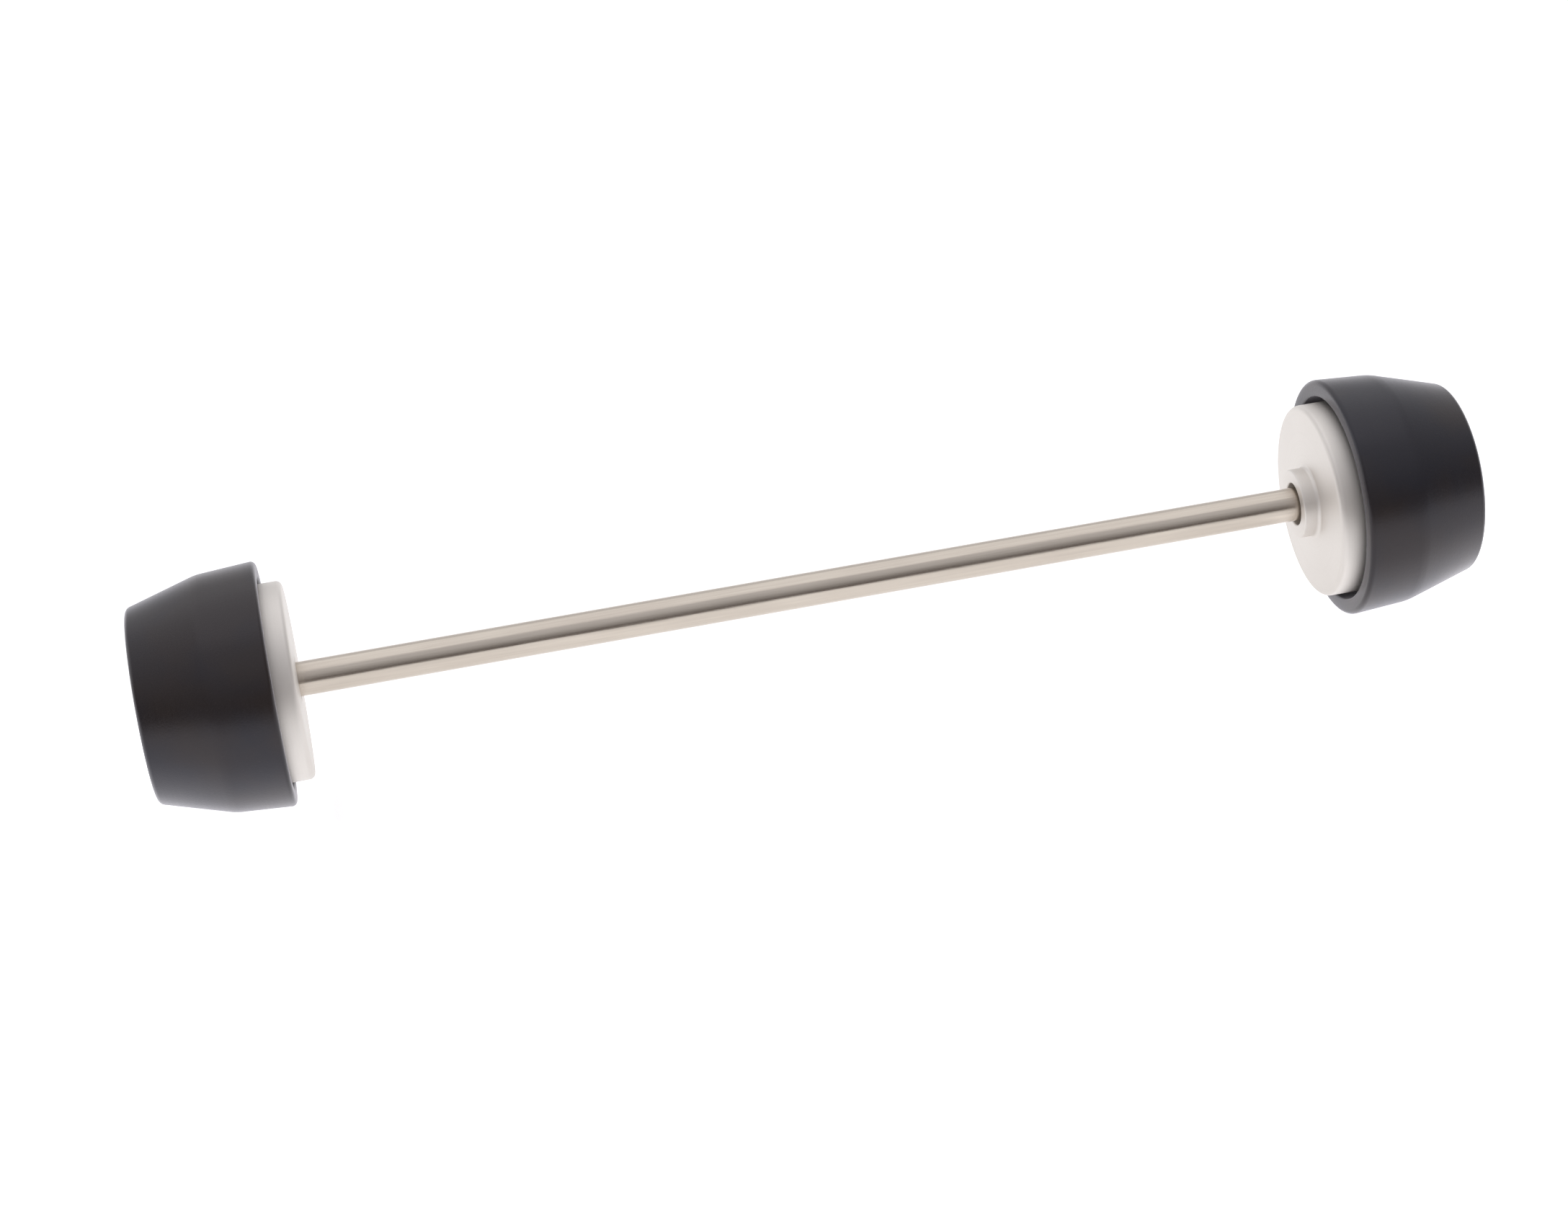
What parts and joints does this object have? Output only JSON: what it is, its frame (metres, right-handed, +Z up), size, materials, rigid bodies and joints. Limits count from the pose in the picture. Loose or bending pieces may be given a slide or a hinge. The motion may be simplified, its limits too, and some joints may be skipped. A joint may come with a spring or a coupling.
{
  "type": "wheel axle slider kit",
  "caption": "Through rod with a tapered nylon scrape bobbin on an aluminium hub at each end, held by washers and lock nuts, for a hollow wheel spindle.",
  "frame": {"origin": "on the rod's axis, midway between the two hub flange faces", "axes": "+X along the rod towards the right bobbin, +Z up, +Y away from the viewer"},
  "size_m": [0.2776, 0.0502, 0.0502],
  "materials": {
    "rod_steel": "brushed stainless steel",
    "hub_aluminium": "satin natural anodised aluminium",
    "nylon_black": "matt black nylon with a fine turned grain",
    "fastener_steel": "plain stainless steel",
    "insert_nylon": "natural white nylon"
  },
  "bodies": {
    "rod": {"spindle_rod": "rod_steel"},
    "left_hub": {"left_hub": "hub_aluminium"},
    "left_bobbin": {"left_bobbin": "nylon_black"},
    "left_washer": {"left_washer": "fastener_steel"},
    "left_nut": {"left_lock_nut": "fastener_steel", "left_nut_insert": "insert_nylon"},
    "right_hub": {"right_hub": "hub_aluminium"},
    "right_bobbin": {"right_bobbin": "nylon_black"},
    "right_washer": {"right_washer": "fastener_steel"},
    "right_nut": {"right_lock_nut": "fastener_steel", "right_nut_insert": "insert_nylon"}
  },
  "joints": [
    {"name": "left_hub_slide", "type": "slide", "parent": "rod", "child": "left_hub", "axis": [1, 0, 0], "range_m": [0, 0.09]},
    {"name": "left_bobbin_spin", "type": "hinge", "parent": "left_hub", "child": "left_bobbin", "pos_m": [-0.12525, 0, 0], "axis": [-1, 0, 0], "continuous": true},
    {"name": "left_washer_slide", "type": "slide", "parent": "rod", "child": "left_washer", "axis": [-1, 0, 0], "range_m": [0, 0.01]},
    {"name": "left_nut_turn", "type": "hinge", "parent": "left_washer", "child": "left_nut", "pos_m": [-0.12855, 0, 0], "axis": [-1, 0, 0], "range_deg": [0, 2880]},
    {"name": "right_hub_slide", "type": "slide", "parent": "rod", "child": "right_hub", "axis": [-1, 0, 0], "range_m": [0, 0.09]},
    {"name": "right_bobbin_spin", "type": "hinge", "parent": "right_hub", "child": "right_bobbin", "pos_m": [0.12525, 0, 0], "axis": [1, 0, 0], "continuous": true},
    {"name": "right_washer_slide", "type": "slide", "parent": "rod", "child": "right_washer", "axis": [1, 0, 0], "range_m": [0, 0.01]},
    {"name": "right_nut_turn", "type": "hinge", "parent": "right_washer", "child": "right_nut", "pos_m": [0.12855, 0, 0], "axis": [1, 0, 0], "range_deg": [0, 2880]}
  ],
  "couplings": [
    {"joint": "left_washer_slide", "follows": "left_nut_turn", "m_per_rad": 0.00019894},
    {"joint": "right_washer_slide", "follows": "right_nut_turn", "m_per_rad": 0.00019894}
  ]
}
